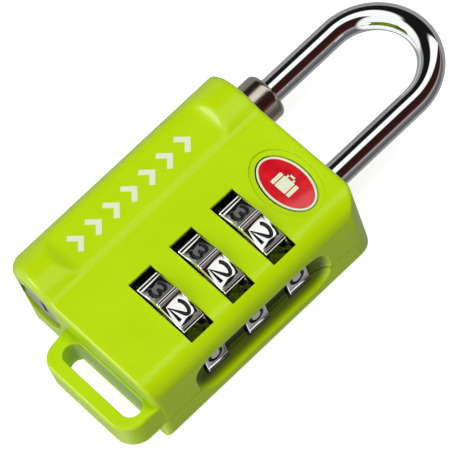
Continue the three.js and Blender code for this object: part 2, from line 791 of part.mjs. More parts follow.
const plugClip = () => {
  const low = barrelTop + restGap;
  return openRing(tailRadius + restGap, plugRadius + clipReach, ringMouth, keyX, low, low + clipThickness);
};

// ---------------------------------------------------------------- assembly

const finish = {
  shell: { color: 0xb2d800, roughness: 0.3, metalness: 0.0 },
  chrome: { color: 0xdcdfe2, roughness: 0.08, metalness: 1.0 },
  nickel: { color: 0xb8ad9c, roughness: 0.25, metalness: 1.0 },
  steel: { color: 0x9a9da0, roughness: 0.35, metalness: 1.0 },
  brass: { color: 0xc8a656, roughness: 0.35, metalness: 1.0 },
  zinc: { color: 0xa2a4a5, roughness: 0.45, metalness: 1.0 },
  enamel: { color: 0xd0142c, roughness: 0.2, metalness: 0.0 },
};

const group = new THREE.Group();

const place = (name, solid, look) => {
  const mesh = new THREE.Mesh(geometryOf(solid), new THREE.MeshStandardMaterial(finish[look]));
  mesh.name = name;
  group.add(mesh);
};

place("front_shell", frontShell(), "shell");
place("rear_shell", rearShell(), "shell");
place("badge_inlay", badgeInlay(), "enamel");
pinPlaces.forEach((at, i) => place(`drive_pin_${i + 1}`, drivePin(at), "steel"));

for (let k = 0; k < dialCount; k++) {
  place(`dial_${k + 1}`, numberDial(k), "chrome");
  place(`clutch_sleeve_${k + 1}`, clutchSleeve(k), "brass");
}
place("detent_spring", detentSpring(), "steel");

place("shackle", shackle(), "chrome");
place("spring_seat_ring", springSeatRing(), "steel");
place("lift_spring", liftSpring(), "steel");

place("collar", collar(), "nickel");
place("latch_carriage", latchCarriage(), "zinc");
place("cam_follower_pin", camFollowerPin(), "steel");
place("collar_spring", collarSpring(), "steel");
place("cam_drum", camDrum(), "brass");

place("key_barrel", keyBarrel(), "brass");
place("key_plug", keyPlug(), "zinc");
place("plug_clip", plugClip(), "steel");
for (let i = 0; i < waferCount; i++) {
  place(`wafer_${i + 1}`, wafer(i), "brass");
}

export default group;
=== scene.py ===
import math

import bmesh
import bpy
from mathutils import Matrix, Vector


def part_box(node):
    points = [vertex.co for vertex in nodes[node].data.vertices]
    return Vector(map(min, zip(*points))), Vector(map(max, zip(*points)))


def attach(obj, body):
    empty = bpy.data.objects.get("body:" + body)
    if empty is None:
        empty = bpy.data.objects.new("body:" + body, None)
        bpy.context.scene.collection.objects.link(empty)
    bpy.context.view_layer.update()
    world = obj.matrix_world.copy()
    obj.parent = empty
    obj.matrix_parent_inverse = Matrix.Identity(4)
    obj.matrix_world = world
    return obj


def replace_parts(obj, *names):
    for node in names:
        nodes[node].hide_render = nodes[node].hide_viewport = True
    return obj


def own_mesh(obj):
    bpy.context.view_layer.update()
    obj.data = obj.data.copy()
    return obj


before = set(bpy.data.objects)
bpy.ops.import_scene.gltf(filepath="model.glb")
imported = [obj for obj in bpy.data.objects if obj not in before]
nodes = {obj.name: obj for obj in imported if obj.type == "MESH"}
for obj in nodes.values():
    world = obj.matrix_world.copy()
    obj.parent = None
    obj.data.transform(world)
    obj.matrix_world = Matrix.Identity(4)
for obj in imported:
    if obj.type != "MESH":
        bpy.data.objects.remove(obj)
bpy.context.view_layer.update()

MM = 0.001


# ---------------------------------------------------------------- sizes read from the frame

def box(node):
    """A node's lowest and highest corners, in millimetres."""
    low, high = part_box(node)
    return low / MM, high / MM


def middle(*names):
    """The middle of the box round one or more nodes."""
    boxes = [box(name) for name in names]
    low = Vector([min(b[0][i] for b in boxes) for i in range(3)])
    high = Vector([max(b[1][i] for b in boxes) for i in range(3)])
    return (low + high) / 2


CASE_LOW, CASE_HIGH = box("rear_shell")
FRONT_HIGH = box("front_shell")[1]
SHACKLE_LOW, SHACKLE_HIGH = box("shackle")
COLLAR_LOW, COLLAR_HIGH = box("collar")
BADGE_LOW, BADGE_HIGH = box("badge_inlay")

AXIS_Z = middle("shackle").z
WIRE = (SHACKLE_HIGH.z - SHACKLE_LOW.z) / 2
DIAL_X = SHACKLE_HIGH.x - WIRE
KEY_X = middle("collar").x
LEFT, RIGHT = CASE_LOW.x, CASE_HIGH.x
BOTTOM, TOP = CASE_LOW.y, CASE_HIGH.y
PARTING_Z = CASE_HIGH.z
DIALS = ("dial_1", "dial_2", "dial_3")
FACETS = 10

# the front's section: a round column, a hollow crease beside it and the main face
FACE_RISE = 6.0
FACE_Z = AXIS_Z + FACE_RISE
COLUMN_RADIUS = FRONT_HIGH.z - AXIS_Z
CREASE = 2.0
CREASE_Z = FACE_Z + CREASE
CREASE_X = KEY_X + math.sqrt((COLUMN_RADIUS + CREASE) ** 2 - (CREASE_Z - AXIS_Z) ** 2)
COLUMN_END_X = KEY_X + (CREASE_X - KEY_X) * COLUMN_RADIUS / (COLUMN_RADIUS + CREASE)
SIDE_EDGE = 3.0
PLAN_CORNERS = {(-1, -1): 4.6, (1, -1): 1.3, (1, 1): 4.0, (-1, 1): 1.5}

# the flat for the label, cut into the column
LABEL_DEPTH = 1.12
LABEL_Z = FRONT_HIGH.z - LABEL_DEPTH
LABEL_ENDS = (-13.9, 14.0)
LABEL_SLOPE = 0.7
LABEL_BLEND = 0.4
LABEL_FOOT = 0.8

# the strap slot, as the line along its middle
SLOT_LEFT, SLOT_RIGHT = RIGHT - 15.2, RIGHT - 3.35
SLOT_Y = BOTTOM - 1.9
SLOT_RADIUS = 1.6
LOOP_BELOW_PARTING = 0.6


# ---------------------------------------------------------------- shader nodes

class Socket:
    """An output of a shader node. Arithmetic on it adds Math nodes."""

    def __init__(self, finish, output):
        self.finish = finish
        self.output = output

    def maths(self, operation, *values):
        return self.finish.node("ShaderNodeMath", {"operation": operation}, values)

    def __add__(self, other):
        return self.maths("ADD", self, other)

    __radd__ = __add__

    def __sub__(self, other):
        return self.maths("SUBTRACT", self, other)

    def __rsub__(self, other):
        return self.maths("SUBTRACT", other, self)

    def __mul__(self, other):
        return self.maths("MULTIPLY", self, other)

    __rmul__ = __mul__

    def __truediv__(self, other):
        return self.maths("DIVIDE", self, other)

    def __abs__(self):
        return self.maths("ABSOLUTE", self)

    def above(self, edge):
        return self.maths("GREATER_THAN", self, edge)

    def below(self, edge):
        return self.maths("LESS_THAN", self, edge)

    def smooth(self, start, end):
        """0 at start, 1 at end, with a soft change between."""
        ramp = {"interpolation_type": "SMOOTHSTEP"}
        values = {"Value": self, "From Min": start, "From Max": end}
        return self.finish.node("ShaderNodeMapRange", ramp, values)


class Finish:
    """A node material or world under construction. Places on it are in millimetres."""

    def __init__(self, name, kind="materials"):
        self.material = getattr(bpy.data, kind).new(name)
        self.material.use_nodes = True
        self.tree = self.material.node_tree
        self.tree.nodes.clear()

    def put(self, socket, value):
        """Links a socket to another or sets its value; a colour gets its alpha here."""
        if isinstance(value, Socket):
            self.tree.links.new(value.output, socket)
        elif socket.type == "RGBA" and len(value) == 3:
            socket.default_value = (*value, 1.0)
        else:
            socket.default_value = value

    def node(self, kind, settings=None, inputs=(), output=0):
        """Adds a node: its settings first, then its inputs, by name or in order."""
        made = self.tree.nodes.new(kind)
        for key, value in (settings or {}).items():
            if key == "stops":
                self.set_stops(made.color_ramp, value)
            else:
                setattr(made, key, value)
        pairs = inputs.items() if isinstance(inputs, dict) else enumerate(inputs)
        for key, value in pairs:
            self.put(made.inputs[key], value)
        return Socket(self, made.outputs[output]) if made.outputs else None

    @staticmethod
    def set_stops(ramp, stops):
        """Gives a colour ramp its stops, each a position and a colour."""
        while len(ramp.elements) > 1:
            ramp.elements.remove(ramp.elements[-1])
        ramp.elements[0].position = stops[0][0]
        ramp.elements[0].color = (*stops[0][1], 1.0)
        for position, colour in stops[1:]:
            ramp.elements.new(position).color = (*colour, 1.0)

    def place(self):
        """The surface point in the row frame, as a vector in millimetres."""
        coordinates = self.node("ShaderNodeTexCoord", output="Object")
        scale = {"operation": "SCALE"}
        values = {"Vector": coordinates, "Scale": 1 / MM}
        return self.node("ShaderNodeVectorMath", scale, values)

    def parts(self, vector):
        """A vector's x, y and z."""
        made = self.node("ShaderNodeSeparateXYZ", inputs=[vector])
        outputs = made.output.node.outputs
        return [Socket(self, outputs[axis]) for axis in "XYZ"]

    def noise(self, vector, scale, detail=3.0, roughness=0.5):
        values = {"Vector": vector, "Scale": scale, "Detail": detail, "Roughness": roughness}
        return self.node("ShaderNodeTexNoise", {"noise_dimensions": "3D"}, values)

    def mix(self, share, first, second):
        """A colour between two; its sockets come after the node's other kinds."""
        mixer = self.node("ShaderNodeMix", {"data_type": "RGBA"}).output.node
        for index, value in ((0, share), (6, first), (7, second)):
            self.put(mixer.inputs[index], value)
        return Socket(self, mixer.outputs[2])

    def bump(self, height, distance, strength=1.0):
        """A normal from a height between 0 and 1 over a distance in millimetres."""
        values = {"Height": height, "Distance": distance * MM, "Strength": strength}
        return self.node("ShaderNodeBump", inputs=values)

    def surface(self, **sockets):
        """Closes the material with a Principled shader; underscores stand for spaces."""
        values = {name.replace("_", " "): value for name, value in sockets.items()}
        shader = self.node("ShaderNodeBsdfPrincipled", inputs=values)
        self.node("ShaderNodeOutputMaterial", inputs={"Surface": shader})
        return self.material


# ---------------------------------------------------------------- finishes

def lime_paint():
    """Glossy green paint, with painted shade: near black in the case's hollow and dark green
    in the side trough.
    """
    paint = Finish("lime_paint")
    place = paint.place()
    x, y, z = paint.parts(place)
    orange_peel = paint.noise(place, 0.9, 2.0)
    fine = paint.noise(place, 6.0, 2.0)
    mottle = paint.noise(place, 0.12, 2.0)
    colour = paint.mix(mottle.smooth(0.3, 0.7), (0.47, 0.70, 0.0), (0.50, 0.735, 0.002))

    # Painted shade: the case's hollow below the front face is coloured near black.
    front_wall, back_wall, side_wall = 0.45, 0.6, 1.75
    hollow_left, hollow_end = DIAL_X - 9.5, 16.0
    under = z.below(FACE_Z - front_wall) * z.above(back_wall) * abs(y).below(hollow_end)
    inside = under * x.above(hollow_left) * x.below(RIGHT - side_wall)
    colour = paint.mix(inside, colour, (0.012, 0.014, 0.008))

    # Painted shade: the side trough is coloured dark green, more so deeper in the recess.
    trough_depth, trough_low, trough_high, trough_end = 2.2, 1.5, 10.9, 15.5
    trough = (RIGHT - x).smooth(0.15, 1.1) * x.above(RIGHT - trough_depth)
    trough = trough * z.above(trough_low) * z.below(trough_high) * abs(y).below(trough_end)
    colour = paint.mix(trough * 0.85, colour, (0.035, 0.05, 0.0))
    return paint.surface(
        Base_Color=colour,
        Roughness=0.30 + 0.06 * fine,
        Specular_IOR_Level=0.2,
        Coat_Weight=0.3,
        Coat_Roughness=0.10,
        Normal=paint.bump(orange_peel, 0.010, 0.5),
    )


def bright_chrome(name, roughness=0.03, tint=(0.80, 0.81, 0.82)):
    """Polished plating with a faint haze in patches."""
    chrome = Finish(name)
    haze = chrome.noise(chrome.place(), 1.6, 3.0)
    return chrome.surface(
        Base_Color=tint,
        Metallic=1.0,
        Roughness=roughness + 0.04 * haze.smooth(0.45, 0.8),
    )


def brushed(name, tint, roughness, along=(1.0, 0.08, 1.0)):
    """Metal with fine marks drawn out along the axis whose share is smallest."""
    metal = Finish(name)
    stretch = {"operation": "MULTIPLY"}
    drawn = metal.node("ShaderNodeVectorMath", stretch, [metal.place(), along])
    marks = metal.noise(drawn, 9.0, 4.0, 0.6)
    dark = tuple(0.78 * share for share in tint)
    return metal.surface(
        Base_Color=metal.mix(marks.smooth(0.35, 0.65), dark, tint),
        Metallic=1.0,
        Roughness=roughness + 0.12 * marks,
        Normal=metal.bump(marks, 0.008, 0.4),
    )


def black_fill():
    """The filling of the cut numbers."""
    paint = Finish("black_fill")
    grain = paint.noise(paint.place(), 5.0)
    return paint.surface(
        Base_Color=(0.006, 0.006, 0.007),
        Roughness=0.35 + 0.2 * grain,
    )


def red_enamel():
    """Clear-coated red, a little uneven in depth."""
    enamel = Finish("red_enamel")
    depth = enamel.noise(enamel.place(), 0.5, 2.0)
    deep, thin = (0.60, 0.006, 0.018), (0.74, 0.014, 0.022)
    return enamel.surface(
        Base_Color=enamel.mix(depth.smooth(0.3, 0.7), deep, thin),
        Roughness=0.16 + 0.05 * depth,
        Coat_Weight=0.6,
        Coat_Roughness=0.04,
    )


def white_print():
    """Pale pad-printed ink."""
    ink = Finish("white_print")
    grain = ink.noise(ink.place(), 4.0)
    return ink.surface(
        Base_Color=ink.mix(grain, (0.70, 0.80, 0.52), (0.80, 0.88, 0.66)),
        Roughness=0.45 + 0.1 * grain,
    )


PAINT = lime_paint()
CHROME = bright_chrome("mirror_chrome")
DIAL_CHROME = bright_chrome("dial_chrome", 0.08, (0.78, 0.78, 0.77))
NICKEL = brushed("collar_nickel", (0.64, 0.57, 0.48), 0.14, (1.0, 0.05, 1.0))
SPRING_STEEL = brushed("spring_steel", (0.50, 0.51, 0.52), 0.28)
BRASS = brushed("turned_brass", (0.74, 0.53, 0.24), 0.26, (0.08, 1.0, 0.08))
ZINC = brushed("cast_zinc", (0.42, 0.42, 0.42), 0.38, (1.0, 1.0, 1.0))
BLACK = black_fill()
ENAMEL = red_enamel()
INK = white_print()


# ---------------------------------------------------------------- geometry nodes

class Shape:
    """A Geometry Nodes tree under construction, with its sizes as named inputs."""

    def __init__(self, name):
        self.name = name
        self.tree = bpy.data.node_groups.new(name, "GeometryNodeTree")
        for way in ("INPUT", "OUTPUT"):
            self.tree.interface.new_socket(
                "Geometry", in_out=way, socket_type="NodeSocketGeometry")
        self.inlet = self.tree.nodes.new("NodeGroupInput")
        self.outlet = self.tree.nodes.new("NodeGroupOutput")
        self.values = {}

    put = Finish.put
    node = Finish.node

    def size(self, name, value):
        """A named input of the tree and its value."""
        made = self.tree.interface.new_socket(
            name, in_out="INPUT", socket_type="NodeSocketFloat")
        self.values[made.identifier] = value
        outlets = [o for o in self.inlet.outputs if o.identifier == made.identifier]
        return Socket(self, outlets[0])

    def start(self):
        """The geometry that the tree is given."""
        return Socket(self, self.inlet.outputs[0])

    def vector(self, x, y, z):
        return self.node("ShaderNodeCombineXYZ", inputs=[x, y, z])

    def moved(self, geometry, place):
        values = {"Geometry": geometry, "Position": place}
        return self.node("GeometryNodeSetPosition", inputs=values)

    def swept(self, path, profile, **more):
        """A profile drawn along a path, with closed ends."""
        values = {"Curve": path, "Profile Curve": profile, "Fill Caps": True, **more}
        return self.node("GeometryNodeCurveToMesh", inputs=values)

    def mesh(self, geometry, material, source=None):
        """Ends the tree and gives its result as a plain mesh."""
        real = self.node("GeometryNodeRealizeInstances", inputs=[geometry])
        values = {"Geometry": real, "Material": material}
        ended = self.node("GeometryNodeSetMaterial", inputs=values)
        self.tree.links.new(ended.output, self.outlet.inputs[0])
        data = source or bpy.data.meshes.new(self.name)
        carrier = bpy.data.objects.new(self.name, data)
        bpy.context.scene.collection.objects.link(carrier)
        modifier = carrier.modifiers.new(self.name, "NODES")
        modifier.node_group = self.tree
        for identifier, value in self.values.items():
            modifier[identifier] = value
        made = finished(carrier)
        bpy.data.objects.remove(carrier)
        return made


def finished(carrier):
    """The object's evaluated shape as a plain mesh."""
    bpy.context.view_layer.update()
    depsgraph = bpy.context.evaluated_depsgraph_get()
    shape = carrier.evaluated_get(depsgraph)
    return bpy.data.meshes.new_from_object(shape, depsgraph=depsgraph)


# ---------------------------------------------------------------- mesh helpers

def piece(name, mesh, body, slot, *materials):
    """A finished piece on its body; its slot is not used."""
    made = bpy.data.objects.new(name, mesh)
    bpy.context.scene.collection.objects.link(made)
    if materials:
        mesh.materials.clear()
        for material in materials:
            mesh.materials.append(material)
    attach(made, body)
    return made if slot else made


def mesh_of(bm, name, sharp=30):
    """A bmesh as a smooth-shaded mesh, with edges past an angle kept sharp."""
    mesh = bpy.data.meshes.new(name)
    bm.to_mesh(mesh)
    bm.free()
    return shaded(mesh, sharp)


def shaded(mesh, sharp=30):
    mesh.shade_smooth()
    mesh.set_sharp_from_angle(angle=math.radians(sharp))
    return mesh


def merged(node):
    """A copy of a node's own shape as clean faces: flat regions are one face each."""
    bm = bmesh.new()
    bm.from_mesh(nodes[node].data)
    bmesh.ops.remove_doubles(bm, verts=bm.verts, dist=0.002 * MM)
    flat = math.radians(0.4)
    bmesh.ops.dissolve_limit(bm, angle_limit=flat, verts=bm.verts, edges=bm.edges)
    return bm


def middle_of(part):
    """A face's or an edge's middle, in millimetres."""
    if isinstance(part, bmesh.types.BMEdge):
        return (part.verts[0].co + part.verts[1].co) / 2 / MM
    return part.calc_center_median() / MM


def split(bm, faces, place, normal):
    """Cuts faces by a plane and gives them all back."""
    geometry = list({part for face in faces for part in (face, *face.edges, *face.verts)})
    made = bmesh.ops.bisect_plane(
        bm, geom=geometry, dist=1e-8, plane_co=Vector(place) * MM, plane_no=normal)
    return [part for part in made["geom"] if isinstance(part, bmesh.types.BMFace)]


def with_modifiers(name, mesh, *steps):
    """A mesh after modifiers, each a kind and its settings."""
    carrier = bpy.data.objects.new(name, mesh)
    bpy.context.scene.collection.objects.link(carrier)
    for kind, settings in steps:
        modifier = carrier.modifiers.new(kind, kind)
        for key, value in settings.items():
            setattr(modifier, key, value)
    made = finished(carrier)
    bpy.data.objects.remove(carrier)
    made.name = name
    return made


WIDEST = 1.5
EVEN = ("WEIGHTED_NORMAL", {"keep_sharp": True, "weight": 80})


def eased(bm, name, width_of, segments=3, slide=True):
    """Rounds edges by width_of(edge, turn), in millimetres, for the edge's turn in degrees.

    Where two rounded edges meet a plain one, slide keeps the new corner on the plain edge.
    """
    weight = bm.edges.layers.float.new("bevel_weight_edge")
    for edge in bm.edges:
        if len(edge.link_faces) == 2:
            turn = math.degrees(edge.calc_face_angle_signed(0))
            edge[weight] = width_of(edge, turn) / WIDEST
    mesh = bpy.data.meshes.new(name)
    bm.to_mesh(mesh)
    bm.free()
    mesh.shade_smooth()
    bevel = {
        "limit_method": "WEIGHT", "width": WIDEST * MM, "segments": segments,
        "use_clamp_overlap": False, "loop_slide": slide, "miter_outer": "MITER_ARC",
    }
    rounded = with_modifiers(name, mesh, ("BEVEL", bevel))
    rounded.set_sharp_from_angle(angle=math.radians(35))
    return with_modifiers(name, rounded, EVEN)


def spun(name, profile, x, z, sides=96):
    """A closed profile of (radius, y) points turned about a line along Y."""
    bm = bmesh.new()
    rings = []
    for radius, y in profile:
        if radius < 1e-6:
            rings.append([bm.verts.new(Vector((x, y, z)) * MM)])
            continue
        ring = []
        for i in range(sides):
            angle = 2 * math.pi * i / sides
            place = Vector((x + radius * math.sin(angle), y, z + radius * math.cos(angle)))
            ring.append(bm.verts.new(place * MM))
        rings.append(ring)
    for here, there in zip(rings, rings[1:] + rings[:1]):
        for i in range(sides):
            j = (i + 1) % sides
            corners = [here[i % len(here)], here[j % len(here)],
                       there[j % len(there)], there[i % len(there)]]
            corners = list(dict.fromkeys(corners))
            if len(corners) > 2:
                bm.faces.new(corners)
    bmesh.ops.recalc_face_normals(bm, faces=bm.faces)
    return mesh_of(bm, name, 40)


def quarter(x, y, radius, start, end, count=8):
    """Points of an arc about (x, y), angles in degrees."""
    angles = [math.radians(start + (end - start) * i / count) for i in range(count + 1)]
    return [(x + radius * math.cos(a), y + radius * math.sin(a)) for a in angles]


# ---------------------------------------------------------------- case

def buried(place):
    """True well inside the case's skin."""
    skin, front, column_skin, left, right = 0.3, 1.2, 1.3, 0.4, 0.9
    column = math.hypot(place.x - KEY_X, place.z - AXIS_Z)
    roof = FACE_Z if column > COLUMN_RADIUS else FRONT_HIGH.z + 1
    under_skin = column < COLUMN_RADIUS - column_skin or place.x > KEY_X + 5
    across = LEFT + left < place.x < RIGHT - right
    along = BOTTOM + skin < place.y < TOP - skin
    return across and along and skin < place.z < roof - front and under_skin


def blended_low(a, b, blend):
    """The lower of two heights, with a soft change between them."""
    if blend < 1e-4:
        return min(a, b)
    share = min(max(0.5 + 0.5 * (b - a) / blend, 0.0), 1.0)
    return b + (a - b) * share - blend * share * (1 - share)


def column_height(x):
    """The front's height across the column, the hollow crease and the main face."""
    if x < COLUMN_END_X:
        return AXIS_Z + math.sqrt(COLUMN_RADIUS ** 2 - (x - KEY_X) ** 2)
    if x < CREASE_X:
        return CREASE_Z - math.sqrt(CREASE ** 2 - (x - CREASE_X) ** 2)
    return FACE_Z


def label_height(x, y, last_x):
    """The column's height with the soft-edged flat for the label scooped out of it."""
    past = max(LABEL_ENDS[0] - y, y - LABEL_ENDS[1])
    rise = past
    if past < -LABEL_FOOT:
        rise = 0.0
    elif past < LABEL_FOOT:
        rise = (past + LABEL_FOOT) ** 2 / (4 * LABEL_FOOT)
    blend = LABEL_BLEND * min(max((last_x - x) / 1.2, 0.0), 1.0)
    return blended_low(column_height(x), LABEL_Z + rise * LABEL_SLOPE, blend)


def outer_faces(bm, last_x=None):
    """The front's outward faces above its side walls, up to last_x if that is given."""
    found = []
    for face in bm.faces:
        place = middle_of(face)
        outward = face.normal.z > 0.3 and place.z > AXIS_Z + 4.4
        if outward and (last_x is None or place.x < last_x):
            found.append(face)
    return found


def soften_label(bm):
    """Remakes the column's top as a fine grid, so that the label's flat has soft edges."""
    past_ends, left_of_key, right_of_key = 3.3, 5.2, 5.0
    rows_between, columns_between = 171, 3
    x0, x1 = KEY_X - left_of_key, KEY_X + right_of_key
    y0, y1 = LABEL_ENDS[0] - past_ends, LABEL_ENDS[1] + past_ends
    for x in (x0, x1):
        split(bm, outer_faces(bm), (x, 0, 0), (1, 0, 0))
    for y in (y0, y1):
        split(bm, outer_faces(bm, x1), (0, y, 0), (0, 1, 0))
    inside = []
    for face in outer_faces(bm, x1):
        place = middle_of(face)
        if x0 < place.x and y0 < place.y < y1:
            inside.append(face)
    bmesh.ops.delete(bm, geom=inside, context="FACES")

    def on_line(edge, axis, value):
        return all(abs(vert.co[axis] / MM - value) < 1e-3 for vert in edge.verts)

    def edges_on(axis, value):
        return [edge for edge in bm.edges if edge.is_boundary and on_line(edge, axis, value)]

    for axis, value, cuts in ((1, y0, columns_between), (1, y1, columns_between),
                              (0, x0, rows_between), (0, x1, rows_between)):
        bmesh.ops.subdivide_edges(bm, edges=edges_on(axis, value), cuts=cuts)

    def line(axis, value):
        verts = {vert for edge in edges_on(axis, value) for vert in edge.verts}
        return sorted(verts, key=lambda vert: vert.co[1 - axis])

    low, high, near, far = line(1, y0), line(1, y1), line(0, x0), line(0, x1)
    rows = [low]
    for left_end, right_end in list(zip(near, far))[1:-1]:
        row = [left_end]
        for below in low[1:-1]:
            x, y = below.co.x / MM, left_end.co.y / MM
            row.append(bm.verts.new(Vector((x, y, label_height(x, y, x1))) * MM))
        rows.append(row + [right_end])
    rows.append(high)
    for here, there in zip(rows, rows[1:]):
        for i in range(len(low) - 1):
            bm.faces.new([here[i], here[i + 1], there[i + 1], there[i]])
    bm.normal_update()


# where the skin is cut for the end rims' rounding, as depths behind the end wall
RIM_STEPS = (0.05, 0.15, 0.32, 0.55, 0.85, 1.25, 1.8)
RIM_REACH = 2.4
RIM_MARGIN = 2.5
ON_SKIN = 0.04


def corner_centre(side, radius):
    """The centre of a plan corner; side is the signs of its x and y."""
    x = LEFT + radius if side[0] < 0 else RIGHT - radius
    y = BOTTOM + radius if side[1] < 0 else TOP - radius
    return x, y


def end_wall(place):
    """Depth behind the nearest end wall or plan corner, and the way that wall faces."""
    for side, radius in PLAN_CORNERS.items():
        x, y = corner_centre(side, radius)
        across, up = place.x - x, place.y - y
        if across * side[0] > 0 and up * side[1] > 0:
            out = math.hypot(across, up)
            return radius - out, Vector((across, up, 0)) / out
    if place.y > 0:
        return TOP - place.y, Vector((0, 1, 0))
    return place.y - BOTTOM, Vector((0, -1, 0))


def front_skin(place):
    """Depth below the front's outer surface, and the way that surface faces."""
    if place.x < COLUMN_END_X:
        if place.z < AXIS_Z:
            return place.x - LEFT, Vector((-1, 0, 0))
        away = Vector((place.x - KEY_X, 0, place.z - AXIS_Z))
        return COLUMN_RADIUS - away.length, away.normalized()
    if place.x < CREASE_X:
        away = Vector((CREASE_X - place.x, 0, CREASE_Z - place.z))
        return away.length - CREASE, away.normalized()
    away = Vector((place.x - RIGHT + SIDE_EDGE, 0, place.z - FACE_Z + SIDE_EDGE))
    if away.x > 0 and away.z > 0:
        return SIDE_EDGE - away.length, away.normalized()
    if away.x > 0:
        return RIGHT - place.x, Vector((1, 0, 0))
    return FACE_Z - place.z, Vector((0, 0, 1))


def rim_radius(place):
    """The end rims' rounding: small at the top and right, full at the column's lower end."""
    least, more = 0.6, 1.5 if place.y < 0 else 0.6
    fade = 7.0
    left = min(max((KEY_X + fade - place.x) / (COLUMN_RADIUS + fade), 0.0), 1.0)
    return least + more * left


def skin_faces(bm, reach=RIM_REACH + RIM_MARGIN):
    """The faces of the front's outer surface whose middles are near an end."""
    found = []
    for face in bm.faces:
        near_end = end_wall(middle_of(face))[0] < reach
        if near_end and all(abs(front_skin(v.co / MM)[0]) < ON_SKIN for v in face.verts):
            found.append(face)
    return found


def ring_corner(bm, faces, side, radius):
    """Cuts a plan corner's faces into sectors, and each sector into steps from the wall."""
    x, y = corner_centre(side, radius)
    centre = Vector((x, y, 0))
    corner = []
    for face in faces:
        place = middle_of(face) - centre
        if place.x * side[0] > 0 and place.y * side[1] > 0:
            corner.append(face)
    sectors = 8 if radius > 3 else 5
    for i in range(1, sectors):
        angle = math.pi / 2 * i / sectors
        across = Vector((-math.sin(angle) * side[0], math.cos(angle) * side[1], 0))
        corner = split(bm, corner, centre, across)
    for i in range(sectors):
        angle = math.pi / 2 * (i + 0.5) / sectors
        out = Vector((math.cos(angle) * side[0], math.sin(angle) * side[1], 0))
        sector = []
        for face in corner:
            place = middle_of(face) - centre
            turn = math.atan2(place.y * side[1], place.x * side[0])
            if abs(turn - angle) < math.pi / 4 / sectors:
                sector.append(face)
        for step in RIM_STEPS:
            if step < radius - 0.1:
                sector = split(bm, sector, centre + out * (radius - step), out)


def lower_rims(bm):
    """Moves the skin's points down near the end walls, along the rims' rounding."""
    for vert in bm.verts:
        place = vert.co / MM
        if place.z < PARTING_Z + 0.5:
            continue
        depth, up = front_skin(place)
        if abs(depth) > ON_SKIN:
            continue
        behind, out = end_wall(place)
        behind = max(behind - 0.03, 0.0)
        lean = min(max(up.dot(out), 0.0), 1.0)
        radius = rim_radius(place) * (1 - lean)
        if behind >= radius:
            continue
        drop = radius - math.sqrt(radius ** 2 - (radius - behind) ** 2)
        vert.co -= (up - lean * out) * (drop / (1 - lean ** 2)) * MM


def round_rims(bm):
    """Rounds the front's edge over the end walls and the plan corners."""
    faces = skin_faces(bm, TOP - BOTTOM)
    for y in (BOTTOM + RIM_REACH, TOP - RIM_REACH):
        faces = split(bm, faces, (0, y, 0), (0, 1, 0))
    faces = skin_faces(bm)
    for side, radius in PLAN_CORNERS.items():
        x, y = corner_centre(side, radius)
        faces = split(bm, faces, (x, 0, 0), (1, 0, 0))
        faces = split(bm, faces, (0, y, 0), (0, 1, 0))
    for side, radius in PLAN_CORNERS.items():
        ring_corner(bm, faces, side, radius)
    for y, way in ((BOTTOM, 1), (TOP, -1)):
        first, last = LEFT + PLAN_CORNERS[(-1, -way)], RIGHT - PLAN_CORNERS[(1, -way)]
        row = []
        for face in skin_faces(bm):
            place = middle_of(face)
            if first < place.x < last and abs(place.y - y) < RIM_REACH + RIM_MARGIN:
                row.append(face)
        for step in RIM_STEPS:
            row = split(bm, row, (0, y + way * step, 0), (0, 1, 0))
    lower_rims(bm)
    bm.normal_update()


def round_slot(place):
    """True on the edges of the strap slot, which comes close to the end wall."""
    nearest = min(max(place.x, SLOT_LEFT), SLOT_RIGHT)
    return math.hypot(place.x - nearest, place.y - SLOT_Y) < SLOT_RADIUS + 0.3


def case_edge(edge, turn):
    """How far each edge of the case is rounded."""
    plain, loop, slot, parting, back_end, trough = 0.1, 0.55, 0.25, 0.06, 0.3, 0.16
    sharp, on_line, near = 28, 0.05, 0.2
    place = middle_of(edge)
    loop_z = PARTING_Z - LOOP_BELOW_PARTING
    if turn < sharp or buried(place):
        return 0.0
    if abs(place.y - BOTTOM) < on_line and abs(place.z - loop_z) < near:
        return 0.0
    if place.y < BOTTOM - on_line:
        return slot if round_slot(place) else loop
    if abs(place.z - PARTING_Z) < near:
        return parting
    at_end = place.y < BOTTOM + 0.3 or place.y > TOP - 0.3
    if at_end and place.z < 1.0:
        between_corners = LEFT + 5 < place.x < RIGHT - 4.5
        return back_end if between_corners else 0.0
    if abs(place.x - RIGHT) < 0.6 and abs(place.y) < 18 and place.z > 0.5:
        return trough
    return plain


def slice_flat(bm, chosen, *cuts):
    """Cuts the chosen faces by planes, each given as its axis and where it is."""
    faces = [face for face in bm.faces if chosen(face.normal, middle_of(face))]
    for axis, value in cuts:
        normal = Vector((0, 0, 0))
        normal[axis] = 1.0
        faces = split(bm, faces, normal * value, normal)


def simplify_flats(bm):
    """Cuts the flat faces that have holes through those holes, so that each is simple."""
    across, along, upwards = 0, 1, 2
    flat = 0.99
    front_window, back_window, gap = 6.5, 4.0, 0.2
    window_ys = []
    for node in DIALS:
        low, high = box(node)
        window_ys += [(along, low.y - gap), (along, high.y + gap)]
    pins = [middle(f"drive_pin_{k}") for k in (1, 2, 3, 4)]
    pin_cuts = [(across, pin.x) for pin in pins] + [(along, pin.y) for pin in pins]

    def main_face(normal, place):
        return normal.z > flat and abs(place.z - FACE_Z) < ON_SKIN

    def loop_face(normal, place):
        return abs(normal.z) > flat and place.y < BOTTOM

    def end_face(normal, place):
        return abs(normal.y) > flat and end_wall(place)[0] < ON_SKIN

    def back_face(normal, place):
        return normal.z < -flat and place.z < 0.1

    front_xs = [(across, DIAL_X - front_window), (across, DIAL_X + front_window)]
    back_xs = [(across, DIAL_X - back_window), (across, DIAL_X + back_window)]
    slice_flat(bm, main_face, *front_xs, *window_ys)
    slice_flat(bm, loop_face, (across, SLOT_LEFT), (across, SLOT_RIGHT), (along, SLOT_Y))
    slice_flat(bm, end_face, (across, KEY_X), (across, DIAL_X), (upwards, AXIS_Z))
    slice_flat(bm, back_face, *back_xs, *window_ys, *pin_cuts)


